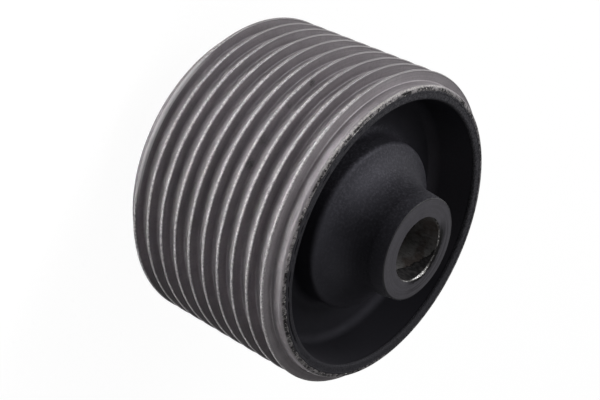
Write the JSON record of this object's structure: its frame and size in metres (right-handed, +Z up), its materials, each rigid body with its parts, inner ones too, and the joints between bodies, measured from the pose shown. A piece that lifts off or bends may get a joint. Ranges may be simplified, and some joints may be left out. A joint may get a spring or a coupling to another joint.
{
  "type": "engine mount bush",
  "caption": "Round rubber-to-metal engine mount bush: a ribbed steel outer sleeve and a thick bolt sleeve, joined by a domed rubber body with an open hollow at each end.",
  "frame": {"origin": "centre of the lower end face of the inner sleeve, on the bush's axis", "axes": "+Z up along the bush's axis, out of the end that the picture shows; X and Y across it"},
  "size_m": [0.062, 0.062, 0.052],
  "materials": {
    "outer_steel": "grey satin coat, worn bright on the rib crests",
    "rubber": "black satin moulded rubber",
    "inner_steel": "dark turned steel, bright at the mouths of the bore"
  },
  "bodies": {
    "root": {"outer_sleeve": "outer_steel", "rubber_body": "rubber", "inner_sleeve": "inner_steel"}
  },
  "joints": []
}
